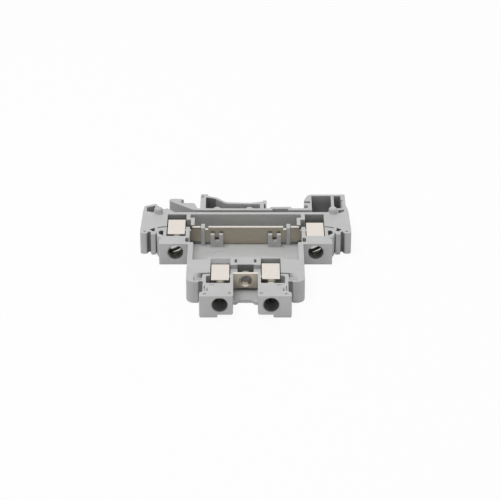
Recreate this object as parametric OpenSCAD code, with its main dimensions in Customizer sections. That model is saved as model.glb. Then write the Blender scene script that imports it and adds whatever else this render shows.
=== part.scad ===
// Double-level terminal block, lying on its closed side with its open side up.
// X runs along the conductors, +Y points at the rail and +Z out of the open side.
// Depths are measured back from the faces of the upper screw blocks.

/* [Block] */
// Length of the block along the conductors
block_l = 56.2; // [54.5:0.1:60]
// Thickness of the block, which is its pitch on the rail
block_t = 6.2; // [6:0.05:7.5]
// Closed side wall
floor_t = 1; // [0.8:0.05:1.2]
// Width of the narrow upper level
neck_w = 30.4; // [29.8:0.1:31]
// Side walls of the upper level
neck_wall = 1.4; // [1:0.05:1.6]
// Thin inner walls
rib_t = 0.8; // [0.6:0.05:1]
// Step from the upper screw faces back to the lower ones
level_step = 28.2; // [27.5:0.1:30]
// Upper screw axes, to each side of the middle
upper_x = 6.5; // [6.3:0.05:6.7]
// Lower screw axes, in from the ends of the block
lower_x = 9.6; // [9.2:0.05:9.8]
// Width of an upper screw block
upper_block_w = 8.55; // [8.3:0.05:8.7]
// Depth of the upper screw blocks
upper_block_d = 7; // [6.5:0.1:7.4]
// Depth of the lower screw blocks
lower_block_d = 4.6; // [4.2:0.1:5.2]
// Outer side of a lower screw block, from its screw axis
lower_block_side = 4; // [3.7:0.05:4.2]
// Rise of the closed side under the inner half of the upper blocks
underside_step = 0.85; // [0.4:0.05:1]

/* [Clamp cages] */
// Width of the strip that a cage is folded from
cage_w = 4.65; // [4.3:0.05:4.9]
// Length of a cage along its screw
cage_l = 8.3; // [7.8:0.1:8.8]
// Side walls of a cage
cage_wall = 0.65; // [0.5:0.05:0.75]
// Front wall of a cage, two layers thick and tapped
cage_front = 2; // [1.6:0.05:2.3]
// Rear wall of a cage
cage_rear = 1.1; // [0.8:0.05:1.3]
// Pressure saddle inside the rear wall
saddle_h = 0.9; // [0.5:0.05:1.2]
// Clearance beside a cage in its pocket
cage_gap = 0.225; // [0.1:0.025:0.3]
// Clearance under a cage
cage_lift = 0.2; // [0.1:0.05:0.3]
// Depth of the cages under the open side
cage_cover = 0.3; // [0.1:0.05:0.5]
// Room between a closed cage and the screw block
stop_gap = 0.1; // [0.05:0.05:0.3]
// Room between the saddle of a closed cage and the bar
close_gap = 0.3; // [0.1:0.05:0.5]
// Room between the front wall of an open cage and the bar
open_gap = 0.2; // [0.1:0.05:0.4]
// How far the lower left clamp is open at rest, of its travel
lower_left_open = 0.6; // [0:0.05:1]
// How far the lower right clamp is open at rest, of its travel
lower_right_open = 0; // [0:0.05:1]
// How far the upper left clamp is open at rest, of its travel
upper_left_open = 0.75; // [0:0.05:1]
// How far the upper right clamp is open at rest, of its travel
upper_right_open = 0.95; // [0:0.05:1]
// Room behind an open cage on the lower level
lower_room = 1.2; // [0.6:0.1:1.8]
// Room behind an open cage on the upper level
upper_room = 1.8; // [1.6:0.1:2.2]

/* [Clamp screws] */
// Diameter of the threaded shank
screw_d = 2.9; // [2.5:0.1:3.1]
// Length of a screw over its head
screw_l = 7.6; // [7:0.1:8]
// Diameter of the head
head_d = 3.7; // [3.3:0.1:3.8]
// Height of the head
head_h = 1.7; // [1.2:0.1:1.9]
// Width of the driver slot
slot_w = 0.8; // [0.5:0.05:1]
// Depth of the driver slot
slot_d = 0.9; // [0.5:0.05:1.1]
// Clearance around the shank in the cage's thread
thread_gap = 0.05; // [0.03:0.01:0.1]
// Clearance around the head in its bore
head_gap = 0.15; // [0.1:0.05:0.2]
// Chamfer at the front of a head bore
head_lead = 0.3; // [0.2:0.05:0.4]
// Room between the screw's tip and the bar
tip_gap = 0.1; // [0.05:0.05:0.2]

/* [Current bars] */
// Thickness of both bars
bar_t = 0.8; // [0.6:0.05:1]
// Depth of the bars' top edges under the open side
bar_cover = 0.2; // [0.1:0.05:0.4]
// Height of the relief under the bars, beside their feet
bar_relief = 0.8; // [0.4:0.1:0.9]
// Clearance around the bars in their slots
bar_gap = 0.1; // [0.05:0.05:0.2]
// Height of the tongues that reach into the cages
tongue_h = 2.9; // [2.2:0.1:3.1]
// Full height of the lower bar, in from the lower screw axes
lower_bar_x = 4.2; // [4:0.1:5]
// Depth of the notches in the lower bar's top edge
notch_d = 0.7; // [0.4:0.05:0.9]
// Tapped hole for the bridge screw in the upper bar
bridge_d = 3; // [2.5:0.1:3.2]
// Wall of the drawn neck behind that hole
bridge_wall = 0.45; // [0.3:0.05:0.5]
// Length of the drawn neck
bridge_neck = 1; // [0.6:0.1:1.5]
// Flare at the front of the hole
bridge_flare = 0.2; // [0.1:0.05:0.3]

/* [Wire entries] */
// Straight bore of a wire entry
entry_d = 3.6; // [3:0.1:3.8]
// Mouth of a wire entry
mouth_d = 4.4; // [4:0.1:4.6]
// Depth of the chamfered mouth
mouth_l = 0.4; // [0.2:0.05:0.5]
// Room between a wire entry and the bar
entry_gap = 0.2; // [0.1:0.05:0.4]

/* [Pegs] */
// Diameter of a side peg
peg_d = 2.3; // [1.8:0.1:2.4]
// Height of a side peg over the open side
peg_h = 1.55; // [0.8:0.05:1.6]
// Clearance around a peg in its socket
peg_gap = 0.05; // [0.03:0.01:0.1]
// Pegs, in from the ends of the block
peg_x = 4.5; // [4.3:0.1:4.7]

/* [Rail foot] */
// Depth of the rail foot behind the clamp pockets
foot_d = 12.2; // [11.8:0.1:13]
// Wall behind the trough and the pockets
back_wall = 1.3; // [1:0.05:1.5]
// Groove behind that wall
back_groove = 1.2; // [1:0.05:1.3]
// Second wall, which the rail foot stands on
foot_wall = 1.1; // [0.8:0.05:1.3]
// Seat of the rail's flanges, from the pockets' back wall
rail_seat = 6.8; // [6.5:0.1:7.2]
// Width of the rail over its flanges
rail_w = 35; // [34.8:0.1:35.2]
// Thickness of the rail's flanges
rail_t = 1; // [0.8:0.05:1.2]
// Clearance around a flange
rail_gap = 0.1; // [0.05:0.05:0.2]
// Opening of the fixed hook, wide enough for a thicker rail
hook_room = 1.9; // [1.4:0.1:2]
// Width of the latch foot
latch_w = 11.3; // [11:0.1:11.5]

/* [Hidden] */

$fn = 48;
// Steps of a rounded corner in an outline
corner_steps = 5;
// How far a cut runs past the face it starts from
over = 1;

plastic = [0.74, 0.74, 0.73];
nickel = [0.88, 0.86, 0.83];
bar_metal = [0.66, 0.61, 0.54];
steel = [0.62, 0.61, 0.6];

half_l = block_l / 2;
lower_axis = half_l - lower_x;
peg_axis = half_l - peg_x;
neck_x = neck_w / 2;
neck_in = neck_x - neck_wall;

// Clamps: the bar stands where a closed cage still leaves its gaps
pocket_w = cage_w + 2 * cage_gap;
cage_h = block_t - floor_t - cage_lift - cage_cover;
clamp_z = floor_t + cage_lift + cage_h / 2;
window_end = cage_l - cage_rear - saddle_h;
clamp_reach = stop_gap + window_end - close_gap - bar_t;
clamp_travel = clamp_reach - open_gap - cage_front - stop_gap;
pocket_room = stop_gap + clamp_travel + cage_l;
head_bore = head_d + 2 * head_gap;
bar_top = block_t - bar_cover;

// Depths of the upper level
upper_bar_y = upper_block_d + clamp_reach;
upper_end = upper_block_d + pocket_room + upper_room;
land_end = upper_end + rib_t;
upper_entry_y = upper_bar_y + bar_t + entry_gap + entry_d / 2;

// Depths of the lower level and the foot
lower_rear = level_step + lower_block_d;
lower_bar_y = lower_rear + clamp_reach;
lower_end = lower_rear + pocket_room + lower_room;
lower_entry_y = lower_bar_y + bar_t + entry_gap + entry_d / 2;
back_y = lower_end + back_wall;
groove_y = back_y + back_groove;
foot_y = groove_y + foot_wall;
seat_y = lower_end + rail_seat;
flange_y = seat_y + rail_t + rail_gap;
block_d = lower_end + foot_d;
peg_y = back_y - 0.4;

// Offsets from the middle
upper_in = upper_x - pocket_w / 2;
upper_out = upper_x + pocket_w / 2;
block_in = upper_in - rib_t;
block_out = block_in + upper_block_w;
lower_in = lower_axis - pocket_w / 2;
lower_out = lower_axis + pocket_w / 2;
lower_block_out = lower_axis + lower_block_side;

// The screw block's side steps in behind its lip, and a marker strip clips in beside it
lip_d = 2;
lip_step = 0.8;
ear_x = block_out - lip_step;
marker_w = 1.1;
shoulder_x = ear_x + marker_w;
shoulder_y = upper_block_d + 0.5;
marker_end = shoulder_y + 0.4;
ear_end = upper_block_d + 4.8;
ear_out = ear_x + 0.2;

// Clips over the lower bar, each with its nose in a notch of the bar
lower_bar_end = lower_axis - lower_bar_x;
clip_x = lower_bar_end - 2.9;
clip_w = 1;
notch_in = clip_x - clip_w / 2 - 0.9;
notch_out = clip_x + clip_w / 2 + bar_gap;
fork_out = clip_x - 2;

// Rail foot
notch_x = rail_w / 2 + rail_gap;
latch_in = notch_x - 1.7;
latch_out = latch_in + latch_w;
latch_wall = 1.2;
foot_left = 5.2 - notch_x;
foot_right = 5.7;

// An outline whose points are [x, y, corner radius]
function unit(v) = v / norm(v);
function flat(p) = [p.x, p.y];
function corner_arc(centre, r, from, turn) = [
    for (i = [0:corner_steps])
        centre + r * [cos(from + turn * i / corner_steps), sin(from + turn * i / corner_steps)]
];
function corner(a, b, c) =
    let (
        u = unit(flat(a) - flat(b)),
        v = unit(flat(c) - flat(b)),
        half = acos(u * v) / 2,
        centre = flat(b) + unit(u + v) * b.z / sin(half),
        start = flat(b) + u * b.z / tan(half) - centre,
        stop = flat(b) + v * b.z / tan(half) - centre,
        from = atan2(start.y, start.x),
        turn = (atan2(stop.y, stop.x) - from + 540) % 360 - 180
    )
    corner_arc(centre, b.z, from, turn);
function rounded(p) = [
    for (i = [0:len(p) - 1])
        each p[i].z == 0 ? [flat(p[i])] : corner(p[(i + len(p) - 1) % len(p)], p[i], p[(i + 1) % len(p)])
];

// Every piece is drawn from the upper screw faces, and stands centred on the origin
module placed() {
    translate([0, -block_d / 2, 0]) children();
}

module both_sides() {
    children();
    mirror([1, 0, 0]) children();
}

module span(x0, x1, y0, y1) {
    translate([x0, y0]) square([x1 - x0, y1 - y0]);
}

module layer(z0, z1) {
    translate([0, 0, z0]) linear_extrude(z1 - z0) children();
}

// A cut from the open side down to z
module open_cut(z) {
    layer(z, block_t + over) children();
}

// A profile drawn in Y and Z, run along X
module along_x(x0, x1) {
    translate([x0, 0, 0]) rotate([90, 0, 90]) linear_extrude(x1 - x0) children();
}

// A profile drawn in X and Z, run along Y
module along_y(y0, y1) {
    translate([0, y1, 0]) rotate([90, 0, 0]) linear_extrude(y1 - y0) children();
}

// Half of the upper level: screw block, shoulder, side wall and the nose of the closed side
module upper_outline() {
    nose_y = upper_block_d + 0.5;
    nose_x = 1.7;
    nose_wing = 1.4;
    shoulder_r = min(2.2, neck_x - shoulder_x - 0.5);
    polygon(rounded([
        [block_in, 0, 0.3], [block_out, 0, 0.3], [block_out, lip_d, 0.2],
        [ear_x, lip_d + 0.6, 0.2], [ear_x, land_end, 0], [block_in, land_end, 0],
    ]));
    polygon(rounded([
        [shoulder_x, shoulder_y, 0.3], [neck_x, shoulder_y, shoulder_r], [neck_x, level_step + over, 0],
        [0, level_step + over, 0], [0, marker_end, 0], [shoulder_x, marker_end, 0],
    ]));
    polygon([
        [0, nose_y], [nose_x, nose_y], [nose_x + 0.9, nose_y - nose_wing],
        [block_in + over, nose_y - nose_wing], [block_in + over, upper_bar_y], [0, upper_bar_y],
    ]);
}

// Half of the lower level, with the posts and groove that hold a marker strip
module lower_outline() {
    side_x = lower_block_out + 0.35;
    post_in = lower_block_out + 1.1;
    post_out = lower_block_out + 2.75;
    lip_in = lower_block_out + 3.45;
    post_y = lower_rear + 0.9;
    lip_y = lower_rear + 1.4;
    polygon(rounded([
        [0, level_step + over, 0], [neck_in, level_step + over, 0], [neck_in, level_step, 0],
        [side_x, level_step, 0.25], [side_x, level_step + 3.3, 0.3],
        [post_in, post_y, 0.2], [post_out, post_y, 0.5], [post_out, lip_y + 1, 0.2],
        [lip_in, lip_y + 1.2, 0.2], [lip_in, lip_y, 0.9], [half_l, lip_y, 0.8],
        [half_l, lip_y + 3, 0], [half_l - 0.25, back_y, 0], [0, back_y, 0],
    ]));
}

// Rear corner of the closed side, beside the rail hook
module corner_outline() {
    polygon(rounded([
        [half_l - 0.6, back_y - over, 0], [half_l - 0.25, back_y, 0], [half_l - 0.5, back_y + 3.6, 0.4],
        [peg_axis + 0.8, back_y + 5.1, 0.2], [peg_axis + 0.45, back_y + 4.1, 0.2],
        [peg_axis - 1.2, back_y + 1.8, 0.4],
        [lower_out + 0.2, back_y + 2.3, 0.4], [lower_out - 1.8, back_y, 1.5],
        [lower_out - 3.5, back_y - over, 0],
    ]));
}

// Springy arm with the fixed hook for one flange of the rail
module hook_outline() {
    root_x = notch_x - 4.8;
    tip_x = notch_x - 0.6;
    arm_x = notch_x + 3.3;
    hook_y = seat_y + hook_room;
    finger_t = 0.65;
    polygon(rounded([
        [root_x, groove_y, 0], [root_x + 1.4, groove_y + 0.1, 3], [arm_x, hook_y - 0.6, 0.7],
        [arm_x, hook_y + finger_t + 0.1, 0.9], [tip_x + 1, hook_y + finger_t, 0.8],
        [tip_x, hook_y + 0.25, 0.1], [tip_x, hook_y, 0],
        [notch_x, hook_y, 0.2], [notch_x, seat_y, 0.2], [root_x + 1.2, seat_y, 0.9],
        [root_x + 0.3, foot_y, 0.5], [root_x, foot_y, 0],
    ]));
}

// Wall behind the groove, with the middle foot that dips into the rail
module middle_outline() {
    foot_in = foot_left + 2.0;
    step_in = foot_right + 0.9;
    step_out = step_in + 5.7;
    span(-13, latch_in + over, groove_y - over, foot_y);
    polygon([
        [step_in - 0.2, groove_y], [step_in - 0.2, foot_y], [step_in + 0.3, foot_y + 0.9],
        [step_out - 0.1, foot_y + 0.9], [step_out + 0.4, foot_y], [step_out + 0.4, groove_y],
    ]);
    polygon(rounded([
        [foot_left, foot_y - foot_wall, 0], [foot_left, block_d, 0.5], [foot_in, block_d, 0.3],
        [foot_in, block_d - 1.0, 0.3], [foot_left + 4.6, block_d - 2.2, 2],
        [foot_left + 7, seat_y + 0.5, 2.5],
        [foot_right - 4.5, seat_y + 0.1, 4], [foot_right - 1.2, seat_y + 0.9, 0.5],
        [foot_right - 0.9, seat_y + 1.6, 0.3], [foot_right, seat_y + 1.6, 0.3],
        [foot_right, foot_y - foot_wall, 0],
    ]));
}

// Latch foot with the notches for the other flange of the rail
module latch_outline() {
    notch_y = foot_y + 1.0;
    difference() {
        polygon(rounded([
            [latch_in, back_y - over, 0], [half_l - 0.6, back_y - over, 0], [half_l - 0.25, back_y, 0],
            [latch_out + 0.4, foot_y + 0.1, 0.6], [latch_out, foot_y + 1.9, 1],
            [latch_out, block_d - 0.2, 0.4], [latch_in + 1.2, block_d - 0.2, 1.5],
            [latch_in, flange_y + 0.6, 4],
        ]));
        span(latch_in - over, notch_x, seat_y - rail_gap, flange_y);
        translate([latch_in, notch_y]) square([2, 1.6], center = true);
    }
}

module block_outline() {
    both_sides() {
        upper_outline();
        lower_outline();
    }
    mirror([1, 0, 0]) {
        corner_outline();
        hook_outline();
    }
    span(-13, latch_in + over, back_y - over, groove_y);
    middle_outline();
    latch_outline();
}

// Half of the spaces that the clamps, the bars and the hands of an assembler need
module clamp_spaces() {
    divider_x = lower_in - 1.05;
    tongue_room = 4.2;
    centre_x = bridge_d / 2 + bridge_wall + bar_gap;
    polygon(rounded([
        [upper_in, upper_block_d, 0.35], [upper_out, upper_block_d, 0], [upper_out, upper_end, 0],
        [upper_in, upper_end, 0],
    ]));
    polygon(rounded([
        [upper_out - over, upper_block_d, 0], [ear_x - rib_t, upper_block_d, 0.5],
        [ear_x - rib_t, ear_end - rib_t, 0.7], [upper_out - over, ear_end - rib_t, 0],
    ]));
    polygon(rounded([
        [upper_out - over, ear_end, 0], [ear_out, ear_end, 0.8], [ear_out, ear_end - 1, 0],
        [ear_out + 0.2, ear_end - 1, 0], [ear_out + 0.2, ear_end + 0.5, 0],
        [upper_out - over, ear_end + 0.9, 0],
    ]));
    span(lower_in, lower_out, lower_rear, lower_end);
    span(divider_x - 0.2, lower_in + over, lower_bar_y - bar_gap, lower_bar_y + tongue_room);
    span(lower_in - 0.9, lower_in, level_step + 1.3, lower_rear - 1);
    span(-over, block_in, -over, upper_bar_y + bar_t + bar_gap);
    span(-over, upper_in + over, upper_bar_y - bar_gap, upper_bar_y + bar_t + bar_gap);
    span(upper_in - 0.65, upper_in + over, upper_bar_y, upper_bar_y + bar_t + 1.2);
    span(-over, centre_x, upper_bar_y, upper_bar_y + 4.6);
    difference() {
        polygon([
            [-over, land_end], [neck_in, land_end], [neck_in, level_step + 1.1],
            [divider_x, level_step + 1.1], [divider_x, lower_end], [-over, lower_end],
        ]);
        span(divider_x - 1.2, divider_x, lower_bar_y + bar_t + bar_gap, lower_bar_y + bar_t + 4.5);
    }
}

// Small openings in the open side, half of them
module relief_cuts() {
    slot_x = 2.5;
    wedge_x = lower_block_out + 2.1;
    wedge_y = lower_rear + 3.7;
    open_cut(block_t - 3) span(slot_x - 0.3, slot_x + 0.3, upper_end - 2.2, upper_end - 0.4);
    open_cut(block_t - 1.2) span(0, upper_in + over, upper_bar_y + bar_t, upper_bar_y + bar_t + 3.6);
    open_cut(floor_t) {
        translate([wedge_x, wedge_y]) polygon([[1, 0.1], [-0.25, 1], [-0.45, -0.8], [0.15, -1]]);
        polygon([
            [lower_out + 0.9, lower_rear + 0.3], [lower_out + 2.1, lower_rear + 1.5],
            [lower_out + 2.05, lower_rear + 2.5], [lower_out + 1.65, lower_rear + 3.2],
            [lower_out + 0.85, lower_rear + 3.1],
        ]);
        polygon([
            [lower_out - over, lower_bar_y + 0.1], [lower_out + 2.5, lower_bar_y - 0.8],
            [lower_out + 2.5, lower_bar_y - 0.2], [lower_out - over, lower_bar_y + 0.65],
        ]);
    }
    open_cut(block_t - 2) polygon([
        [lower_block_out + over, level_step + 2.1], [lower_block_out + over, level_step + 4],
        [lower_block_out - 0.25, level_step + 3.3],
    ]);
    layer(-over, block_t + over)
        span(lower_block_out + 1.15, lower_block_out + 1.4, lower_rear - over, lower_rear + 1.8);
}

// Ejector dimples and small reliefs in the open side, half of them
module mould_marks() {
    dimple_h = 0.3;
    nick_x = ear_x - 1.2;
    dimples = [
        [block_out - 1.4, 1.3, 0.8], [block_in + 0.85, 1.7, 0.8], [half_l - 1.2, lower_rear + 2.6, 0.7],
    ];
    for (p = dimples) translate([p.x, p.y, block_t - dimple_h]) cylinder(h = over, d = p.z);
    open_cut(block_t - 0.6) {
        polygon([[nick_x - 0.25, 2.9], [nick_x + 0.25, 3], [nick_x, 4.5]]);
        span(ear_x - 0.6, ear_x - 0.35, 3, 5.4);
        span(upper_x + 1.4, upper_x + 2.6, upper_block_d - 1.1, upper_block_d - 0.8);
    }
}

// Marks that only one side has: on the trough's floor and the middle foot
module single_marks() {
    mark_x = -7.1;
    mark_y = land_end + 11.7;
    translate([mark_x, mark_y, floor_t - 0.12]) cylinder(h = over, d = 2.7);
    open_cut(block_t - 0.5) span(foot_left + 0.3, foot_left + 0.85, block_d - 2, block_d - 0.8);
}

// Rounded inner edge of the latch foot's outer wall
module latch_scoop() {
    edge_r = latch_wall - 0.1;
    x0 = latch_out - latch_wall;
    along_y(foot_y, foot_y + 4.9) difference() {
        span(x0 - over, x0 + edge_r, block_t - edge_r, block_t + over);
        translate([x0 + edge_r - 0.03, block_t - edge_r + 0.02]) circle(edge_r);
    }
}

// Spaces between the walls of the rail foot
module foot_spaces() {
    middle_left = foot_left + 1.5;
    middle_right = foot_right - 1.8;
    slot_x = foot_right - 0.75;
    rib_x = latch_out - 3.9;
    wall_y = block_d - 1.1;
    step_x = 9.4;
    // groove along the back wall
    span(-16, latch_in + 2.1, back_y, groove_y);
    translate([step_x, groove_y]) square([4.3, 1.8], center = true);
    // inside of the middle foot
    difference() {
        polygon(rounded([
            [middle_left, foot_y, 0], [middle_left, block_d - 1.8, 0.3],
            [middle_left + 2.4, block_d - 2.7, 2],
            [middle_left + 5.5, seat_y - 0.4, 2.5], [middle_right - 2.8, seat_y - 0.7, 2],
            [middle_right, seat_y - 0.6, 0.4], [middle_right, foot_y, 0],
        ]));
        for (x = [-7.8, 1]) translate([x, foot_y]) circle(0.9);
    }
    span(slot_x, slot_x + 0.45, foot_y, foot_y + 2.7);
    // inside of the latch foot
    difference() {
        span(latch_in + 2.1, rib_x, back_y, wall_y);
        translate([peg_axis, peg_y]) circle(peg_d / 2 + 0.3);
    }
    span(rib_x + rib_t, latch_out - latch_wall, foot_y, wall_y);
    // slanted slots beside the pegs
    translate([peg_axis, peg_y]) polygon([[1.4, 0.4], [1.8, -0.2], [3.1, 1], [3.1, 2], [1.4, 1.6]]);
    mirror([1, 0, 0]) translate([peg_axis, peg_y])
        polygon([[1.4, 0.2], [3.2, 1], [3.3, 3.2], [1, 4.4]]);
}

// Rounded back of the land over an upper wire entry, and the scoop in front of it
module land_cuts() {
    round_r = 1.9;
    scoop_r = 6;
    scoop_y = marker_end + 0.5;
    scoop_end = scoop_y + 4.6;
    x0 = upper_out + rib_t;
    along_x(x0, neck_in) difference() {
        span(land_end - round_r, land_end + over, block_t - round_r, block_t + over);
        translate([land_end - round_r, block_t - round_r]) circle(round_r);
    }
    along_x(ear_out, neck_in - 0.5) difference() {
        span(scoop_y, scoop_end, block_t - scoop_r / 2, block_t + over);
        translate([scoop_end, block_t - scoop_r + 0.03]) circle(scoop_r);
    }
}

// Rounded lower edges of an upper screw block, one on each side of its face
module block_edges() {
    edge_r = 0.5;
    along_y(-over, upper_block_d) difference() {
        span(block_out - edge_r, block_out + over, -over, edge_r);
        translate([block_out - edge_r, edge_r]) circle(edge_r);
    }
    along_y(-over, upper_block_d - 1.2) difference() {
        span(block_in - over, block_in + edge_r, underside_step - over, underside_step + edge_r);
        translate([block_in + edge_r, underside_step + edge_r]) circle(edge_r);
    }
}

// A bore for a screw's head that runs along Y, chamfered at its front
module head_bore_y(x, y, l) {
    translate([x, y, clamp_z]) rotate([-90, 0, 0]) {
        translate([0, 0, -over]) cylinder(h = l + 2 * over, d = head_bore);
        translate([0, 0, -head_lead])
            cylinder(h = 2 * head_lead, d1 = head_bore + 4 * head_lead, d2 = head_bore);
    }
}

// A straight wire bore from a pocket out to its chamfered mouth
module wire_entry(x0, x1, y) {
    translate([x0, y, clamp_z]) rotate([0, 90, 0]) {
        translate([0, 0, -over]) cylinder(h = x1 - x0 - mouth_l + over, d = entry_d);
        translate([0, 0, x1 - x0 - mouth_l]) cylinder(h = mouth_l, d1 = entry_d, d2 = mouth_d);
        translate([0, 0, x1 - x0]) cylinder(h = over, d = mouth_d);
    }
}

// Clip over the lower bar, its nose in a notch of the bar's top edge
module bar_clip() {
    clip_d = 0.9;
    nose_z = bar_top - notch_d + bar_gap;
    x0 = clip_x - clip_w / 2;
    y0 = lower_bar_y - clip_d;
    layer(floor_t, block_t) span(x0, x0 + clip_w, y0, lower_bar_y - bar_gap);
    layer(nose_z, block_t) span(x0, x0 + clip_w, y0, lower_bar_y + bar_t + clip_d);
}

// Forked stop in front of the lower bar
module bar_fork() {
    fork_w = 3.4;
    fork_d = 1.2;
    fork_h = 3.6;
    gap_w = 1.2;
    gap_h = 1.9;
    translate([fork_out - fork_w, lower_bar_y - 1.8, floor_t]) difference() {
        cube([fork_w, fork_d, fork_h]);
        translate([(fork_w - gap_w) / 2, -over, fork_h - gap_h])
            cube([gap_w, fork_d + 2 * over, gap_h + over]);
    }
}

// Sloped back wall of the upper left clamp pocket
module pocket_ramp() {
    ramp_y = upper_end - upper_room + 0.2;
    along_x(-upper_out, -upper_in) polygon([
        [ramp_y, floor_t], [ramp_y, block_t - 0.7], [upper_end, block_t - 0.1], [upper_end, floor_t],
    ]);
}

module side_peg() {
    dome_r = 0.6;
    translate([peg_axis, peg_y, block_t]) rotate_extrude()
        polygon(rounded([[0, -over, 0], [peg_d / 2, -over, 0], [peg_d / 2, peg_h, dome_r], [0, peg_h, 0]]));
}

module housing() {
    color(plastic) placed() {
        difference() {
            union() {
                linear_extrude(block_t) block_outline();
                both_sides() side_peg();
            }
            open_cut(floor_t) {
                both_sides() clamp_spaces();
                foot_spaces();
            }
            single_marks();
            latch_scoop();
            both_sides() {
                relief_cuts();
                mould_marks();
                land_cuts();
                block_edges();
                head_bore_y(upper_x, 0, upper_block_d);
                head_bore_y(lower_axis, level_step, lower_block_d);
                wire_entry(upper_out, neck_x, upper_entry_y);
                wire_entry(lower_out, half_l, lower_entry_y);
                layer(-over, underside_step) span(block_in - over, upper_x + 0.6, -over, upper_block_d - 0.5);
                translate([peg_axis, peg_y, -over])
                    cylinder(h = peg_h + 0.2 + over, d = peg_d + 2 * peg_gap);
            }
        }
        both_sides() {
            bar_clip();
            bar_fork();
        }
        pocket_ramp();
    }
}

module lower_current_bar() {
    tongue_x = lower_out - 0.15;
    color(bar_metal) placed() difference() {
        union() {
            translate([-lower_bar_end, lower_bar_y, floor_t])
                cube([2 * lower_bar_end, bar_t, bar_top - floor_t]);
            translate([-tongue_x, lower_bar_y, clamp_z - tongue_h / 2]) cube([2 * tongue_x, bar_t, tongue_h]);
        }
        both_sides() along_y(lower_bar_y - over, lower_bar_y + bar_t + over) {
            span(notch_in, notch_out, bar_top - notch_d, bar_top + over);
            span(fork_out, lower_bar_end + over, floor_t - over, floor_t + bar_relief);
        }
    }
}

module upper_current_bar() {
    foot_x = block_in - bar_gap;
    bevel = 0.65;
    tongue_x = upper_out - 0.15;
    bridge_z = clamp_z + 0.4;
    color(bar_metal) placed() difference() {
        union() {
            along_y(upper_bar_y, upper_bar_y + bar_t) {
                polygon([
                    [-upper_in, floor_t], [-foot_x, floor_t], [-foot_x, floor_t + bar_relief],
                    [foot_x, floor_t + bar_relief], [foot_x, floor_t], [upper_in, floor_t],
                    [upper_in, bar_top - bevel], [upper_in - bevel, bar_top],
                    [bevel - upper_in, bar_top], [-upper_in, bar_top - bevel],
                ]);
                translate([-tongue_x, clamp_z - tongue_h / 2]) square([2 * tongue_x, tongue_h]);
            }
            translate([0, upper_bar_y, bridge_z]) rotate([-90, 0, 0])
                cylinder(h = bar_t + bridge_neck, d = bridge_d + 2 * bridge_wall);
        }
        translate([0, upper_bar_y, bridge_z]) rotate([-90, 0, 0]) {
            translate([0, 0, -over]) cylinder(h = bar_t + bridge_neck + 2 * over, d = bridge_d);
            translate([0, 0, -bridge_flare])
                cylinder(h = 2 * bridge_flare, d1 = bridge_d + 4 * bridge_flare, d2 = bridge_d);
        }
    }
}

// Cage folded from one strip around X, with a doubled and tapped front wall
module clamp_cage(x, block_rear, open) {
    fold_r = 0.3;
    seam = 0.1;
    saddle_w = 2.2;
    top = cage_h / 2;
    inner = top - cage_wall;
    translate([x, block_rear + stop_gap + open * clamp_travel, clamp_z]) difference() {
        along_x(-cage_w / 2, cage_w / 2) difference() {
            polygon(rounded([
                [0, -top, fold_r], [cage_l, -top, fold_r], [cage_l, top, fold_r], [0, top, fold_r],
            ]));
            polygon([
                [cage_front, -inner], [cage_l - cage_rear, -inner], [cage_l - cage_rear, -saddle_w / 2],
                [window_end, -saddle_w / 2 + 0.5], [window_end, saddle_w / 2 - 0.5],
                [cage_l - cage_rear, saddle_w / 2], [cage_l - cage_rear, inner], [cage_front, inner],
            ]);
            span(cage_front / 2 - seam / 2, cage_front / 2 + seam / 2, -top - over, inner);
        }
        translate([0, -over, 0]) rotate([-90, 0, 0])
            cylinder(h = cage_front + 2 * over, d = screw_d + 2 * thread_gap);
    }
}

// Slotted cheese-head screw along +Y, its tip just short of the bar
module clamp_screw(x, bar_y, slot_turn) {
    bevel = 0.25;
    tip_l = 0.4;
    translate([x, bar_y - tip_gap - screw_l, clamp_z]) rotate([-90, 0, 0]) difference() {
        rotate_extrude() polygon([
            [0, 0], [head_d / 2 - bevel, 0], [head_d / 2, bevel], [head_d / 2, head_h], [screw_d / 2, head_h],
            [screw_d / 2, screw_l - tip_l], [screw_d / 2 - tip_l, screw_l], [0, screw_l],
        ]);
        rotate([0, 0, -slot_turn]) translate([0, 0, slot_d / 2 - over / 2])
            cube([head_d + over, slot_w, slot_d + over], center = true);
    }
}

module lower_left_cage() {
    color(nickel) placed() clamp_cage(-lower_axis, lower_rear, lower_left_open);
}

module lower_right_cage() {
    color(nickel) placed() clamp_cage(lower_axis, lower_rear, lower_right_open);
}

module upper_left_cage() {
    color(nickel) placed() clamp_cage(-upper_x, upper_block_d, upper_left_open);
}

module upper_right_cage() {
    color(nickel) placed() clamp_cage(upper_x, upper_block_d, upper_right_open);
}

module lower_left_screw() {
    color(steel) placed() clamp_screw(-lower_axis, lower_bar_y, 27);
}

module lower_right_screw() {
    color(steel) placed() clamp_screw(lower_axis, lower_bar_y, 27);
}

module upper_left_screw() {
    color(steel) placed() clamp_screw(-upper_x, upper_bar_y, 12);
}

module upper_right_screw() {
    color(steel) placed() clamp_screw(upper_x, upper_bar_y, 64);
}

housing();
lower_current_bar();
upper_current_bar();
lower_left_cage();
lower_right_cage();
upper_left_cage();
upper_right_cage();
lower_left_screw();
lower_right_screw();
upper_left_screw();
upper_right_screw();
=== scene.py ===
"""Double-level terminal block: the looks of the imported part, in metres and in the part's own frame."""
import math

import bmesh
import bpy
from mathutils import Matrix, Vector
from mathutils.bvhtree import BVHTree


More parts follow.
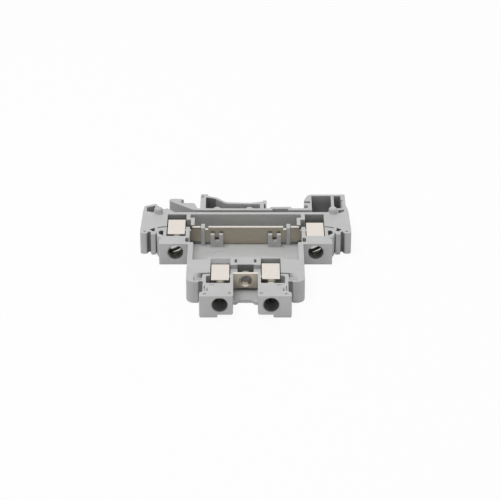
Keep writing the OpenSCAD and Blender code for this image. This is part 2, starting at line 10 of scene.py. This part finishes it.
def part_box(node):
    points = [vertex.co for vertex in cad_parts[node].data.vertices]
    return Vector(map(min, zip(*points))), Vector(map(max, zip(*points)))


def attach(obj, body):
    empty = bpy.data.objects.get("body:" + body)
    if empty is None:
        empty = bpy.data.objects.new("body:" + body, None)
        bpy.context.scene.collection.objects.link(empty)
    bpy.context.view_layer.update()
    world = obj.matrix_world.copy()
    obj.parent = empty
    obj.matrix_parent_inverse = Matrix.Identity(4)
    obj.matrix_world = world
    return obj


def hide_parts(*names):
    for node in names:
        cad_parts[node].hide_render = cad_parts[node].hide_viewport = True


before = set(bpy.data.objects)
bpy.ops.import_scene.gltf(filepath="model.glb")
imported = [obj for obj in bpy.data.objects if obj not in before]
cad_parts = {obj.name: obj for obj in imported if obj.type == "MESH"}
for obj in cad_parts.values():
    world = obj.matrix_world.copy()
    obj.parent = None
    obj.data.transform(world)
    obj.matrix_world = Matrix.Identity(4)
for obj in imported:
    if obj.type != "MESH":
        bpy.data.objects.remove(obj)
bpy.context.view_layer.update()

# Camera: a long lens on a stand, 28 degrees above the bench and square to the screw side.
# The picture is square, so the sensor's width sets both angles of view.
CAMERA_TILT = 28
scene = bpy.context.scene
scene.view_settings.view_transform = "Standard"
lens = bpy.data.cameras.new("camera")
lens.sensor_width = 36.0
lens.lens = 151.3
camera = bpy.data.objects.new("camera", lens)
camera.location = (0.00115, -0.4896, 0.2644)
camera.rotation_euler = (math.radians(90 - CAMERA_TILT), 0, 0)
scene.collection.objects.link(camera)
scene.camera = camera


# Bench: a wide sheet of white card that the block lies on, closed side down.
# It is matt, and to the camera it is nearly white, so only a faint shadow shows on it.
# It lies a hair below the block, because two faces in one plane would show through each other.
def blank_material(name):
    material = bpy.data.materials.new(name)
    material.use_nodes = True
    nodes = material.node_tree.nodes
    return material, nodes, material.node_tree.links, nodes["Principled BSDF"]


def mesh_piece(bm, name, *materials):
    mesh = bpy.data.meshes.new(name)
    bm.to_mesh(mesh)
    bm.free()
    piece = bpy.data.objects.new(name, mesh)
    for material in materials:
        mesh.materials.append(material)
    scene.collection.objects.link(piece)
    return piece


def surround_rays(nodes, links):
    path = nodes.new("ShaderNodeLightPath")
    rays = path.outputs["Is Camera Ray"]
    for kind in ("Is Glossy Ray", "Is Transmission Ray"):
        either = nodes.new("ShaderNodeMath")
        either.operation = "MAXIMUM"
        links.new(rays, either.inputs[0])
        links.new(path.outputs[kind], either.inputs[1])
        rays = either.outputs["Value"]
    return rays


MM = 0.001
BENCH_HALF, BENCH_DROP, CARD_GLOW = 3.0, 0.02 * MM, 0.92
card, nodes, links, shader = blank_material("white_card")
shader.inputs["Base Color"].default_value = (0.88, 0.88, 0.88, 1)
shader.inputs["Roughness"].default_value = 0.9
shader.inputs["Specular IOR Level"].default_value = 0.0
white = nodes.new("ShaderNodeEmission")
white.inputs["Color"].default_value = (1, 1, 1, 1)
white.inputs["Strength"].default_value = 1.0
share = nodes.new("ShaderNodeMath")
share.operation = "MULTIPLY"
share.inputs[1].default_value = CARD_GLOW
links.new(surround_rays(nodes, links), share.inputs[0])
blend = nodes.new("ShaderNodeMixShader")
links.new(share.outputs["Value"], blend.inputs["Fac"])
links.new(shader.outputs["BSDF"], blend.inputs[1])
links.new(white.outputs["Emission"], blend.inputs[2])
links.new(blend.outputs["Shader"], nodes["Material Output"].inputs["Surface"])
bm = bmesh.new()
bmesh.ops.create_grid(bm, x_segments=1, y_segments=1, size=BENCH_HALF)
bmesh.ops.translate(bm, verts=bm.verts[:], vec=(0, 0, -BENCH_DROP))
bench = mesh_piece(bm, "bench", card)

# Light: a white tent around the bench, brightest behind, with a softbox overhead.
# The tent's front is dim, and a low lamp on each side fills the faces towards the camera.
TENT_FRONT, TENT_BACK = 0.30, 0.95
FILL_SIZE, FILL_POWER = 0.4, 0.58
LAMPS = (
    ("softbox", (-0.16, 0.0, 0.74), 0.5, 3.36),
    ("left_fill", (-0.36, -0.72, 0.1), FILL_SIZE, FILL_POWER),
    ("right_fill", (0.36, -0.72, 0.1), FILL_SIZE, FILL_POWER),
)
world = bpy.data.worlds.new("tent")
scene.world = world
world.use_nodes = True
nodes, links = world.node_tree.nodes, world.node_tree.links
tent = nodes["Background"]
way = nodes.new("ShaderNodeTexCoord")
split = nodes.new("ShaderNodeSeparateXYZ")
links.new(way.outputs["Generated"], split.inputs["Vector"])
grade = nodes.new("ShaderNodeMapRange")
grade.interpolation_type = "SMOOTHSTEP"
grade.inputs["From Min"].default_value = 0.1
grade.inputs["From Max"].default_value = 0.9
grade.inputs["To Min"].default_value = TENT_FRONT
grade.inputs["To Max"].default_value = TENT_BACK
links.new(split.outputs["Y"], grade.inputs["Value"])
seen = nodes.new("ShaderNodeMix")
seen.data_type = "FLOAT"
links.new(surround_rays(nodes, links), seen.inputs["Factor"])
links.new(grade.outputs["Result"], seen.inputs["A"])
seen.inputs["B"].default_value = 1.0
links.new(seen.outputs["Result"], tent.inputs["Strength"])
tent.inputs["Color"].default_value = (1, 1, 1, 1)
for name, spot, size, power in LAMPS:
    light = bpy.data.lights.new(name, "AREA")
    light.shape = "SQUARE"
    light.size = size
    light.energy = power
    lamp = bpy.data.objects.new(name, light)
    lamp.location = spot
    lamp.visible_glossy = False
    lamp.rotation_euler = (-lamp.location).to_track_quat("-Z", "Y").to_euler()
    scene.collection.objects.link(lamp)

# Housing: one moulding in light grey polyamide with a fine matt skin, open on its upper side.
# The mould's edges are slightly broken, and the outer edge of the closed side is rounder.
# Its pockets, bores and grooves take darker, rougher copies of the plastic: painted shade in the hollows.
MERGE_D, CUT_D = 0.001 * MM, 0.0001 * MM
FLAT_ANGLE, SMOOTH_ANGLE = math.radians(0.3), math.radians(50)


def merged_copy(node):
    bm = bmesh.new()
    bm.from_mesh(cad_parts[node].data)
    bmesh.ops.remove_doubles(bm, verts=bm.verts[:], dist=MERGE_D)
    bmesh.ops.dissolve_limit(bm, angle_limit=FLAT_ANGLE, verts=bm.verts[:], edges=bm.edges[:])
    return bm


def break_edges(bm, edges, radius, segments=2):
    bmesh.ops.bevel(
        bm, geom=edges, affect="EDGES", offset=radius, offset_type="OFFSET", segments=segments,
        profile=0.5, clamp_overlap=False, material=-1,
    )


def sharp_edges(bm, degrees=40):
    limit = math.radians(degrees)
    return [e for e in bm.edges if len(e.link_faces) == 2 and e.calc_face_angle() > limit]


def score(bm, faces, place, way, clear_outer=False):
    edges = dict.fromkeys(e for f in faces for e in f.edges)
    corners = dict.fromkeys(v for f in faces for v in f.verts)
    bmesh.ops.bisect_plane(
        bm, geom=[*faces, *edges, *corners], dist=CUT_D, plane_co=place, plane_no=way, clear_outer=clear_outer,
    )


def shade(piece):
    mesh = piece.data
    mesh.shade_smooth()
    mesh.set_sharp_from_angle(angle=SMOOTH_ANGLE)
    even = piece.modifiers.new("even_normals", "WEIGHTED_NORMAL")
    even.keep_sharp = True


def noise(nodes, links, place, scale, detail):
    cloud = nodes.new("ShaderNodeTexNoise")
    cloud.inputs["Scale"].default_value = scale
    cloud.inputs["Detail"].default_value = detail
    links.new(place, cloud.inputs["Vector"])
    return cloud.outputs["Fac"]


def mottle(nodes, links, cloud, dark, light, stops=(0.3, 0.7)):
    tone = nodes.new("ShaderNodeValToRGB")
    for stop, position, colour in zip(tone.color_ramp.elements, stops, (dark, light)):
        stop.position = position
        stop.color = (*colour, 1)
    links.new(cloud, tone.inputs["Fac"])
    return tone.outputs["Color"]


def skin(nodes, links, shader, cloud, roughness, strength, depth):
    sheen = nodes.new("ShaderNodeMapRange")
    sheen.inputs["To Min"].default_value, sheen.inputs["To Max"].default_value = roughness
    links.new(cloud, sheen.inputs["Value"])
    links.new(sheen.outputs["Result"], shader.inputs["Roughness"])
    relief = nodes.new("ShaderNodeBump")
    relief.inputs["Strength"].default_value = strength
    relief.inputs["Distance"].default_value = depth
    links.new(cloud, relief.inputs["Height"])
    links.new(relief.outputs["Normal"], shader.inputs["Normal"])


def moulded_plastic(name, dark, light, roughness, rim=None, rim_low=3.5 * MM, rim_top=6.2 * MM):
    plastic, nodes, links, shader = blank_material(name)
    place = nodes.new("ShaderNodeTexCoord").outputs["Object"]
    cloud = noise(nodes, links, place, scale=260, detail=6)
    colour = mottle(nodes, links, cloud, dark, light)
    # With rim, the colour brightens with height up to rim times at rim_top: painted light falling into the
    # hollows.
    if rim:
        height = nodes.new("ShaderNodeSeparateXYZ")
        links.new(place, height.inputs["Vector"])
        rise = nodes.new("ShaderNodeMapRange")
        rise.inputs["From Min"].default_value, rise.inputs["From Max"].default_value = rim_low, rim_top
        rise.inputs["To Min"].default_value, rise.inputs["To Max"].default_value = 1.0, rim
        links.new(height.outputs["Z"], rise.inputs["Value"])
        lift = nodes.new("ShaderNodeVectorMath")
        lift.operation = "SCALE"
        links.new(colour, lift.inputs["Vector"])
        links.new(rise.outputs["Result"], lift.inputs["Scale"])
        colour = lift.outputs["Vector"]
    links.new(colour, shader.inputs["Base Color"])
    grain = noise(nodes, links, place, scale=9000, detail=3)
    skin(nodes, links, shader, grain, roughness, strength=0.35, depth=0.01 * MM)
    shader.inputs["Specular IOR Level"].default_value = 0.4
    return plastic


def both_sides(x0, x1, y0, y1):
    return (-x1, -x0, y0, y1), (x0, x1, y0, y1)


def within(boxes, x, y, slack=0.02):
    return any(x0 - slack < x < x1 + slack and y0 - slack < y < y1 + slack for x0, x1, y0, y1 in boxes)


DULL = (0.7, 0.85)
plastic = moulded_plastic("grey_plastic", (0.50, 0.505, 0.50), (0.54, 0.545, 0.54), (0.5, 0.66))
# Darker copies of the plastic paint shade into the hollows; the first grows lighter towards the top, a painted
# light.
painted_shade_plastic = moulded_plastic("painted_shade_plastic", (0.24, 0.245, 0.24), (0.29, 0.295, 0.29), DULL, rim=1.5)
deep_shade_plastic = moulded_plastic("deep_shade_plastic", (0.2, 0.203, 0.198), (0.24, 0.243, 0.238), DULL)

# The closed side's rim is as round as its small fillets allow. Sockets and hook keep a sharp rim.
RIM_RADII, RIM_ANGLE, BASE_SLACK = (0.18 * MM, 0.12 * MM, 0.06 * MM), 60, 0.01 * MM
SOCKET_X, SOCKET_Y, SOCKET_R = 23.6 * MM, 17.5 * MM, 1.3 * MM
HOOK_X, HOOK_Y = -15.5 * MM, 23 * MM
for rim_r in RIM_RADII:
    bm = merged_copy("housing")
    solid = BVHTree.FromBMesh(bm)
    base_rim = []
    for e in sharp_edges(bm, RIM_ANGLE):
        middle = (e.verts[0].co + e.verts[1].co) / 2
        low = max(v.co.z for v in e.verts) < BASE_SLACK
        in_socket = math.hypot(abs(middle.x) - SOCKET_X, middle.y - SOCKET_Y) < SOCKET_R
        on_hook = middle.x < HOOK_X and middle.y > HOOK_Y
        if low and not in_socket and not on_hook:
            base_rim.append(e)
    break_edges(bm, base_rim, rim_r, segments=3)
    stray = max(solid.find_nearest(v.co)[3] for v in bm.verts)
    if stray < rim_r / 2 or rim_r == RIM_RADII[-1]:
        break
    bm.free()

# The other edges are broken too, but not at the narrow slits, where there is no room for it.
EDGE_R = 0.06 * MM
SLITS, SLIT_ROOM = ((11.1, -17.0), (2.9, -22.8), (13.0, 18.7)), 0.9
crisp = []
for e in sharp_edges(bm):
    x, y, _ = (e.verts[0].co + e.verts[1].co) / 2 / MM
    if all(math.hypot(abs(x) - slit_x, y - slit_y) > SLIT_ROOM for slit_x, slit_y in SLITS):
        crisp.append(e)
break_edges(bm, crisp, EDGE_R)
low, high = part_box("housing")
for v in bm.verts:
    v.co = [min(max(a, b), c) for a, b, c in zip(v.co, low, high)]
bm.normal_update()

# The floor is parted around the lower bar's seat, which gets a painted shadow, and the wall behind the bridge
# hole at the hole's top, above which it gets painted shade.
FACING, FLOOR_Z, FLOOR_SLACK = 0.9, 1.0 * MM, 0.05 * MM
HOLE_WALL, HOLE_TOP, HOLE_REACH = Vector((0, -11.9 * MM, 3.6 * MM)), 3.4 * MM, 0.3 * MM
SEAT_FRONT, SEAT_REAR = 0.2 * MM, 0.8 * MM
wall = [
    f for f in bm.faces
    if f.normal.y < -FACING and (f.calc_center_median() - HOLE_WALL).length < HOLE_REACH
]
score(bm, wall, (0, 0, HOLE_TOP), (0, 0, 1))
bar_low, bar_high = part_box("lower_current_bar")
seat_front, seat_rear = bar_low.y - SEAT_FRONT, bar_high.y + SEAT_REAR
for seat_end in (seat_front, seat_rear):
    floor = [
        f for f in bm.faces
        if f.normal.z > FACING and abs(f.calc_center_median().z - FLOOR_Z) < FLOOR_SLACK
    ]
    score(bm, floor, (0, seat_end, 0), (0, 1, 0))

# Each hollow painted with shade is a box in plan, in millimetres: left, right, front and rear.
shaded_hollows = [
    *both_sides(15.95, 21.05, 4.0, 16.6),  # lower clamp pockets
    *both_sides(3.95, 9.05, -21.8, -8.9),  # upper clamp pockets
    *both_sides(23.6, 23.95, 4.85, 5.85),  # narrow grooves in the ends
    (18.0, 23.3, 17.9, 27.7),  # latch foot's main hollow
    (24.1, 25.6, 20.2, 27.7),  # latch foot's outer hollow
]
# These take the darkest painted shade; the lower bar's seat is a painted shadow under the bar.
deep_shaded_hollows = [
    (-10.9, -7.6, 20.2, 27.0),  # middle foot's deep end
    (-2.1, 2.1, -15.0, -11.1),  # recess behind the upper bar
    (-21.0, 21.0, seat_front / MM, seat_rear / MM),  # lower bar's seat
    *both_sides(24.1, 25.65, 6.65, 8.75),  # slots in the ends
    *both_sides(21.85, 23.2, 4.25, 7.25),  # slots beside the lower pockets
    *both_sides(25.2, 26.4, 5.2, 6.7),  # wide grooves in the ends
    *both_sides(10.95, 11.95, -21.3, -20.8),  # marker grooves beside the upper blocks
]
BORE_R, BORE_Z, BORE_LIP = 2.02, 3.55, 0.35
bores = [(-6.5, -28.8, -21.8), (6.5, -28.8, -21.8), (-18.5, -0.6, 4.0), (18.5, -0.6, 4.0)]
HOLLOW_TOP, FEET_Y, DOWNWARD, REARWARD = 6.1, 24, -0.5, 0.1
HOLE_PLAN = (-2.0, 2.0, -12.0, -11.8)
GREY, PAINTED_SHADE, DEEP_SHADE = range(3)
# Faces in bores and hollows take the painted shade; outward faces and the lower wall behind the bridge hole
# keep the plain grey.
for f in bm.faces:
    x, y, z = f.calc_center_median() / MM
    bored = any(
        math.hypot(x - bore_x, z - BORE_Z) < BORE_R and front + BORE_LIP < y < rear
        for bore_x, front, rear in bores
    )
    behind_hole = within([HOLE_PLAN], x, y) and z < HOLE_TOP / MM and f.normal.y < -FACING
    outside = f.normal.z < DOWNWARD or (y > FEET_Y and f.normal.y > REARWARD)
    sunk = z < HOLLOW_TOP
    if behind_hole or outside:
        f.material_index = GREY
    elif bored or (sunk and within(deep_shaded_hollows, x, y)):
        f.material_index = DEEP_SHADE
    else:
        f.material_index = PAINTED_SHADE if sunk and within(shaded_hollows, x, y) else GREY
housing = mesh_piece(bm, "moulded_housing", plastic, painted_shade_plastic, deep_shade_plastic)
shade(housing)

# Large faces stay flat, so that the narrow rims beside them don't bend their shading.
FLAT_AREA = 8 * MM * MM
for face in housing.data.polygons:
    face.use_smooth = face.area < FLAT_AREA
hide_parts("housing")
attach(housing, "block")


# Current bars: flat strips of copper alloy, tinned, that join the clamps of each level.
# The strip is rolled along its length. Its faces take a darker copy of the metal and its upward sheared edges
# a lighter one: painted shade and painted highlight.
def rolled_metal(name, dark, light, roughness, scale):
    metal, nodes, links, shader = blank_material(name)
    stretch = nodes.new("ShaderNodeMapping")
    stretch.inputs["Scale"].default_value = scale
    links.new(nodes.new("ShaderNodeTexCoord").outputs["Object"], stretch.inputs["Vector"])
    streak = noise(nodes, links, stretch.outputs["Vector"], scale=1.0, detail=5)
    links.new(mottle(nodes, links, streak, dark, light), shader.inputs["Base Color"])
    skin(nodes, links, shader, streak, roughness, strength=0.3, depth=0.002 * MM)
    shader.inputs["Metallic"].default_value = 1.0
    return metal


bar_metal = rolled_metal(
    "plated_bar", (0.43, 0.385, 0.315), (0.50, 0.45, 0.375),
    roughness=(0.26, 0.38), scale=(400, 9000, 9000),
)
highlight_metal = rolled_metal(
    "painted_highlight_edge", (0.76, 0.72, 0.66), (0.84, 0.80, 0.74),
    roughness=(0.2, 0.34), scale=(9000, 9000, 400),
)
BAR_T, UPWARD = 0.85 * MM, 0.3
for node in ("lower_current_bar", "upper_current_bar"):
    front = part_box(node)[0].y
    bm = merged_copy(node)
    break_edges(bm, sharp_edges(bm), EDGE_R)
    bm.normal_update()
    # Upward faces along the front take the lighter copy: a painted highlight.
    for f in bm.faces:
        lit_top = f.normal.z > UPWARD and f.calc_center_median().y < front + BAR_T
        f.material_index = 1 if lit_top else 0
    bar = mesh_piece(bm, f"plated_{node}", bar_metal, highlight_metal)
    shade(bar)
    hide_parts(node)
    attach(bar, "block")


# Bridge thread: the drawn hole of the upper bar is tapped for the screw of a cross bridge.
# The thread starts behind the hole's flare and runs to the end of the drawn neck.
def helix(bm, axis, crest, root, pitch, flat=0.1, slack=0.002 * MM):
    for v in bm.verts:
        across = Vector((v.co.x - axis.x, 0, v.co.z - axis.z))
        turn = math.atan2(across.x, across.z) / (2 * math.pi)
        phase = ((v.co.y - axis.y) / pitch - turn) % 1.0
        flank = abs(2 * phase - 1)
        if abs(across.length - crest) < slack:
            depth = (flank - flat) / (1 - 2 * flat)
            across.length = crest + (root - crest) * min(1, max(0, depth))
            v.co.x, v.co.z = axis.x + across.x, axis.z + across.z


HOLE_Z, FLARE, PITCH = 3.95 * MM, 0.2 * MM, 0.5 * MM
TAP_CREST, TAP_ROOT, TAP_OUT = 1.26 * MM, 1.5 * MM, 1.52 * MM
TAP_ROWS, TAP_STEPS = 24, 36
low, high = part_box("upper_current_bar")
thread_axis = Vector((0, low.y, HOLE_Z))
thread_start, thread_end = low.y + FLARE, high.y
bm = bmesh.new()
profile = []
for i in range(TAP_ROWS + 1):
    y = thread_start + (thread_end - thread_start) * i / TAP_ROWS
    profile.append(bm.verts.new((TAP_CREST, y, HOLE_Z)))
profile += [bm.verts.new((TAP_OUT, y, HOLE_Z)) for y in (thread_end, thread_start)]
loop = [bm.edges.new((a, b)) for a, b in zip(profile, profile[1:] + profile[:1])]
bmesh.ops.spin(
    bm, geom=profile + loop, cent=thread_axis, axis=(0, 1, 0), angle=2 * math.pi, steps=TAP_STEPS,
    use_merge=True,
)
bmesh.ops.remove_doubles(bm, verts=bm.verts[:], dist=MERGE_D)
helix(bm, thread_axis, TAP_CREST, TAP_ROOT, PITCH)
bmesh.ops.recalc_face_normals(bm, faces=bm.faces[:])
thread = mesh_piece(bm, "bridge_thread", bar_metal)
shade(thread)
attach(thread, "block")

# Clamp cages: steel strip folded into a box around the bar and tapped in its doubled front wall.
# They are bright nickel plated, and the strip was drawn across the folds.
STRIP_EDGE_R = 0.05 * MM
cage_metal = rolled_metal(
    "bright_cage", (0.74, 0.69, 0.63), (0.80, 0.75, 0.69),
    roughness=(0.18, 0.30), scale=(9000, 500, 500),
)
clamps = ("lower_left", "lower_right", "upper_left", "upper_right")
for clamp in clamps:
    node = f"{clamp}_cage"
    bm = merged_copy(node)
    break_edges(bm, sharp_edges(bm), STRIP_EDGE_R)
    cage = mesh_piece(bm, f"{clamp}_folded_cage", cage_metal)
    shade(cage)
    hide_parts(node)
    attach(cage, node)

# Clamp screws: slotted cheese heads with an M3 thread, in zinc plated steel.
# Each head sits in its bore in the housing, and the thread runs through the cage's front wall.
# The head's face is slightly crowned, and its slot is painted near black: a painted shade.
screw_metal = rolled_metal(
    "screw_steel", (0.50, 0.49, 0.46), (0.60, 0.59, 0.55),
    roughness=(0.10, 0.18), scale=(3000, 3000, 3000),
)
slot_shade_metal = rolled_metal(
    "painted_shade_slot", (0.09, 0.088, 0.08), (0.15, 0.147, 0.135),
    roughness=(0.4, 0.55), scale=(3000, 3000, 3000),
)
HEAD_R, HEAD_H, HEAD_EDGE_R, NECK_L = 1.85 * MM, 1.7 * MM, 0.05 * MM, 0.1 * MM
CROWN, FACE_T, FACETS, FACET_W = 0.16 * MM, 0.06 * MM, 5, 0.33 * MM
SLOT_TOP, SLOT_MARGIN = 0.25 * MM, 0.1 * MM
SHANK_R, ROOT_R, TIP = 1.45 * MM, 1.2 * MM, 0.4 * MM
SHANK_SIDES, SHANK_CUTS = 28, 95
for clamp in clamps:
    node = f"{clamp}_screw"
    low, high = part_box(node)
    axis = Vector(((low.x + high.x) / 2, low.y, (low.z + high.z) / 2))
    bm = merged_copy(node)
    score(bm, bm.faces[:], (0, low.y + HEAD_H + NECK_L, 0), (0, 1, 0), clear_outer=True)
    bmesh.ops.holes_fill(bm, edges=[e for e in bm.edges if e.is_boundary], sides=0)
    break_edges(bm, sharp_edges(bm), HEAD_EDGE_R)
    for across in (Vector((1, 0, 0)), Vector((0, 0, 1))):
        for i in range(-FACETS, FACETS + 1):
            score(bm, bm.faces[:], axis + across * i * FACET_W, across)
    for v in bm.verts:
        if v.co.y < low.y + FACE_T:
            off = math.hypot(v.co.x - axis.x, v.co.z - axis.z)
            v.co.y += CROWN * (off / HEAD_R) ** 2
    # Faces inside the slot take the dark steel: painted shade.
    for f in bm.faces:
        x, y, z = f.calc_center_median() - axis
        inside = math.hypot(x, z) < HEAD_R - SLOT_MARGIN
        f.material_index = 1 if inside and SLOT_TOP < y < HEAD_H - SLOT_MARGIN else 0
    shank = bmesh.new()
    shank_l = high.y - low.y - HEAD_H
    bmesh.ops.create_cone(
        shank, cap_ends=True, segments=SHANK_SIDES, radius1=SHANK_R, radius2=SHANK_R, depth=shank_l,
    )
    quarter = Matrix.Rotation(-math.pi / 2, 3, "X")
    bmesh.ops.rotate(shank, verts=shank.verts[:], cent=(0, 0, 0), matrix=quarter)
    sides = [e for e in shank.edges if abs(e.verts[0].co.y - e.verts[1].co.y) > shank_l / 2]
    bmesh.ops.subdivide_edges(shank, edges=sides, cuts=SHANK_CUTS, use_grid_fill=True)
    middle = Vector((axis.x, low.y + HEAD_H + shank_l / 2, axis.z))
    bmesh.ops.translate(shank, verts=shank.verts[:], vec=middle)
    helix(shank, axis, SHANK_R, ROOT_R, PITCH)
    for v in shank.verts:
        inset = v.co.y - (high.y - TIP)
        across = Vector((v.co.x - axis.x, 0, v.co.z - axis.z))
        if inset > 0 and across.length > SHANK_R - inset:
            across.length = SHANK_R - inset
            v.co.x, v.co.z = axis.x + across.x, axis.z + across.z
    bmesh.ops.recalc_face_normals(shank, faces=shank.faces[:])
    body = bpy.data.meshes.new("shank")
    shank.to_mesh(body)
    shank.free()
    bm.from_mesh(body)
    bpy.data.meshes.remove(body)
    screw = mesh_piece(bm, f"{clamp}_slotted_screw", screw_metal, slot_shade_metal)
    shade(screw)
    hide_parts(node)
    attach(screw, node)
